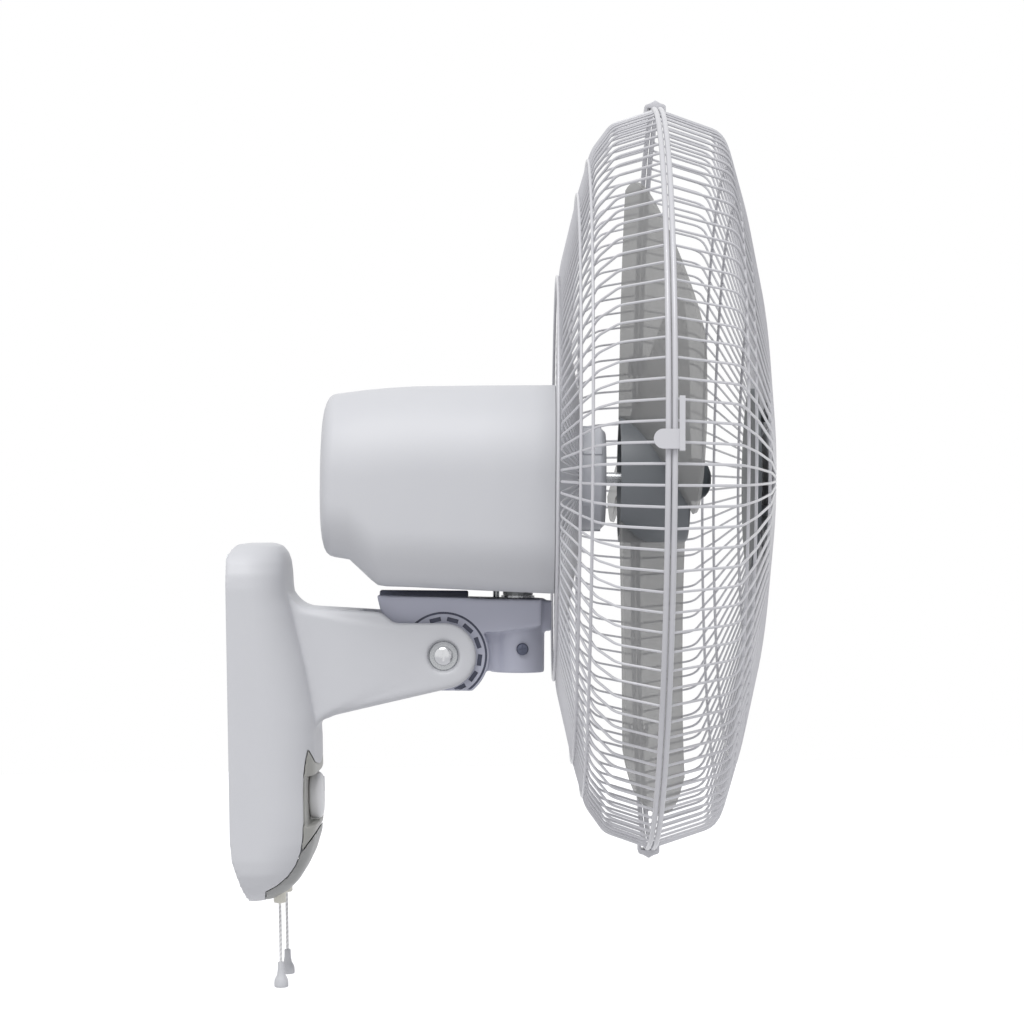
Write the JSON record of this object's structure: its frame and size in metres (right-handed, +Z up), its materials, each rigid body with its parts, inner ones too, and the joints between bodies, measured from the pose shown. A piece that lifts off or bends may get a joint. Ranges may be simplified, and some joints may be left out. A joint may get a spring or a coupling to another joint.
{
  "type": "wall fan",
  "caption": "Wall mounted fan: a motor head with guards and broad blades tilts and swings on the arm of a slim wall base with a speed knob and pull cords.",
  "frame": {"origin": "on the wall face of the base's back plate, in the middle of its width and at half the height of the base's straight back", "axes": "+Y points into the wall, -Y is where the fan blows, +Z is up, +X is to the right for someone who stands in front of the fan and looks along +Y"},
  "size_m": [0.4488, 0.3251, 0.5241],
  "materials": {
    "ivory_abs": "satin",
    "lavender_abs": "satin",
    "guard_wire": "gloss",
    "nut_grey": "satin",
    "dark_grey_abs": "satin",
    "panel_grey": "satin",
    "smoke_blade": "gloss",
    "black_plastic": "satin",
    "black_steel": "satin",
    "nylon": "satin",
    "cord_white": "matte",
    "steel": "satin",
    "chrome": "polished",
    "zinc_sheet": "satin",
    "cast_alloy": "satin",
    "lamination": "satin",
    "copper": "satin",
    "bronze": "satin"
  },
  "bodies": {
    "base": {"base_cover": "ivory_abs", "lower_strip": "dark_grey_abs", "control_panel": "panel_grey", "wall_plate": "zinc_sheet", "cover_screw": "steel", "speed_switch": "dark_grey_abs", "cord_bush_left": "nylon", "cord_bush_right": "nylon", "pull_switch_left": "black_plastic", "pull_switch_right": "black_plastic", "terminal_block": "nylon", "capacitor": "black_plastic", "tilt_bolt": "chrome", "tilt_washer": "steel", "tilt_nut": "steel", "tilt_spacer_left": "nylon", "tilt_spacer_right": "nylon"},
    "neck": {"neck_bracket": "lavender_abs", "swivel_lock_screw": "black_steel", "link_stud": "steel"},
    "head": {"motor_housing": "ivory_abs", "front_cover": "ivory_abs", "front_shield": "cast_alloy", "rear_shield": "cast_alloy", "stator": "lamination", "coil_front": "copper", "coil_rear": "copper", "bearing_front": "bronze", "bearing_rear": "bronze", "swivel_shaft": "steel", "swivel_washer": "steel", "gear_case": "cast_alloy", "gear_plate": "zinc_sheet", "rear_guard": "guard_wire", "front_guard": "guard_wire", "guard_nut": "nut_grey", "badge_disc": "dark_grey_abs", "badge_cap": "ivory_abs", "rim_clip_1": "ivory_abs", "rim_clip_2": "ivory_abs", "rim_clip_3": "ivory_abs", "rim_clip_4": "ivory_abs"},
    "rotor": {"fan_blade": "smoke_blade", "drive_pin": "steel", "spinner_nut": "dark_grey_abs", "motor_shaft": "steel", "rotor_core": "lamination"},
    "wheel": {"worm_wheel": "nylon"},
    "crank": {"crank_gear": "nylon"},
    "link": {"swing_link": "zinc_sheet"},
    "latch": {"rim_latch": "ivory_abs"},
    "knob": {"speed_knob": "ivory_abs"},
    "pull_left": {"pull_cord_left": "cord_white", "pull_knob_left": "ivory_abs"},
    "pull_right": {"pull_cord_right": "cord_white", "pull_knob_right": "ivory_abs"}
  },
  "joints": [
    {"name": "tilt", "type": "hinge", "parent": "base", "child": "neck", "pos_m": [0, -0.1254, 0.0335], "axis": [1, 0, 0], "range_deg": [-12, 25]},
    {"name": "swivel", "type": "hinge", "parent": "neck", "child": "head", "pos_m": [0, -0.16919, 0.03235], "axis": [0, -0.0262, 0.9997], "range_deg": [-40, 40]},
    {"name": "blade_spin", "type": "hinge", "parent": "head", "child": "rotor", "pos_m": [0, -0.12818, 0.13946], "axis": [0, -0.9997, -0.0262], "continuous": true},
    {"name": "wheel_turn", "type": "hinge", "parent": "head", "child": "wheel", "pos_m": [-0.0194, -0.09089, 0.13444], "axis": [0, -0.0262, 0.9997], "continuous": true},
    {"name": "crank_turn", "type": "hinge", "parent": "head", "child": "crank", "pos_m": [0, -0.11271, 0.08385], "axis": [0, -0.0262, 0.9997], "continuous": true},
    {"name": "link_swing", "type": "hinge", "parent": "neck", "child": "link", "pos_m": [0.014, -0.15725, 0.07688], "axis": [0, -0.0262, 0.9997], "range_deg": [-49, 49]},
    {"name": "latch_open", "type": "hinge", "parent": "head", "child": "latch", "pos_m": [-0.22214, -0.25764, 0.16306], "axis": [0.1205, -0.026, 0.9924], "range_deg": [0, 70]},
    {"name": "knob_turn", "type": "hinge", "parent": "base", "child": "knob", "pos_m": [0, -0.0475, -0.0497], "axis": [0, 1, 0], "range_deg": [0, 135]},
    {"name": "pull_left_slide", "type": "slide", "parent": "base", "child": "pull_left", "axis": [0, 0, -1], "range_m": [0, 0.012], "stiffness_N_per_m": 200},
    {"name": "pull_right_slide", "type": "slide", "parent": "base", "child": "pull_right", "axis": [0, 0, -1], "range_m": [0, 0.012], "stiffness_N_per_m": 200}
  ],
  "couplings": [
    {"joint": "wheel_turn", "follows": "blade_spin", "ratio": 0.041667},
    {"joint": "crank_turn", "follows": "blade_spin", "ratio": -0.0083333},
    {"joint": "link_swing", "follows": "swivel", "ratio": 1.2}
  ]
}
